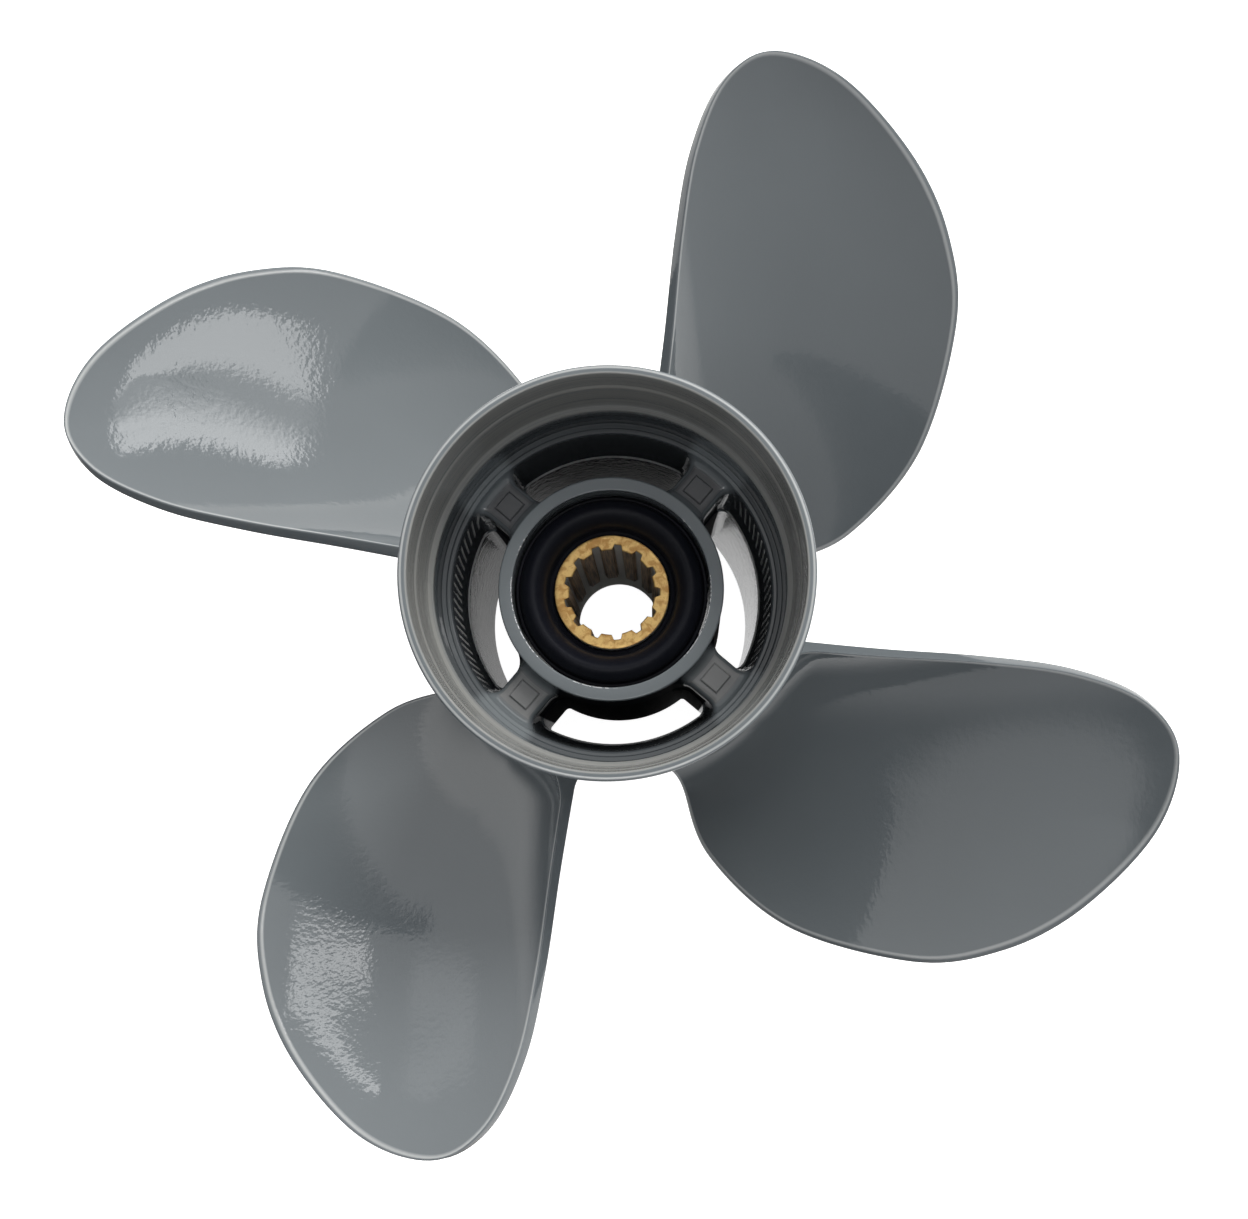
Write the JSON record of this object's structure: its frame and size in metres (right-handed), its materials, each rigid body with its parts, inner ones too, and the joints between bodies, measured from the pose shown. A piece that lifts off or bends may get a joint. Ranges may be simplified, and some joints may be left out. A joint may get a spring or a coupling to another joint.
{
  "type": "outboard motor propeller",
  "caption": "Right-hand boat propeller with raked blades, a hollow exhaust barrel, a rubber cushion hub and a splined brass sleeve.",
  "frame": {"origin": "on the shaft axis, in the plane of the barrel's forward end", "axes": "+Z along the shaft axis from the forward end to the aft end, where the exhaust leaves; +Y and +X across the shaft"},
  "size_m": [0.2472, 0.2472, 0.1166],
  "materials": {
    "grey_gloss_paint": "glossy grey paint on cast aluminium",
    "black_rubber": "smooth moulded black rubber",
    "brass": "machined brass, stained on its face and dark in its bore"
  },
  "bodies": {
    "spline_sleeve": {"spline_sleeve": "brass"},
    "rubber_hub": {"rubber_hub": "black_rubber"},
    "blade_casting": {"blade_casting": "grey_gloss_paint"}
  },
  "joints": [
    {"name": "rubber_windup", "type": "hinge", "parent": "spline_sleeve", "child": "rubber_hub", "pos_m": [0, 0, 0.05], "axis": [0, 0, 1], "range_deg": [-8, 8], "stiffness_Nm_per_rad": 600},
    {"name": "hub_slip", "type": "hinge", "parent": "rubber_hub", "child": "blade_casting", "pos_m": [0, 0, 0.05], "axis": [0, 0, 1], "continuous": true}
  ]
}
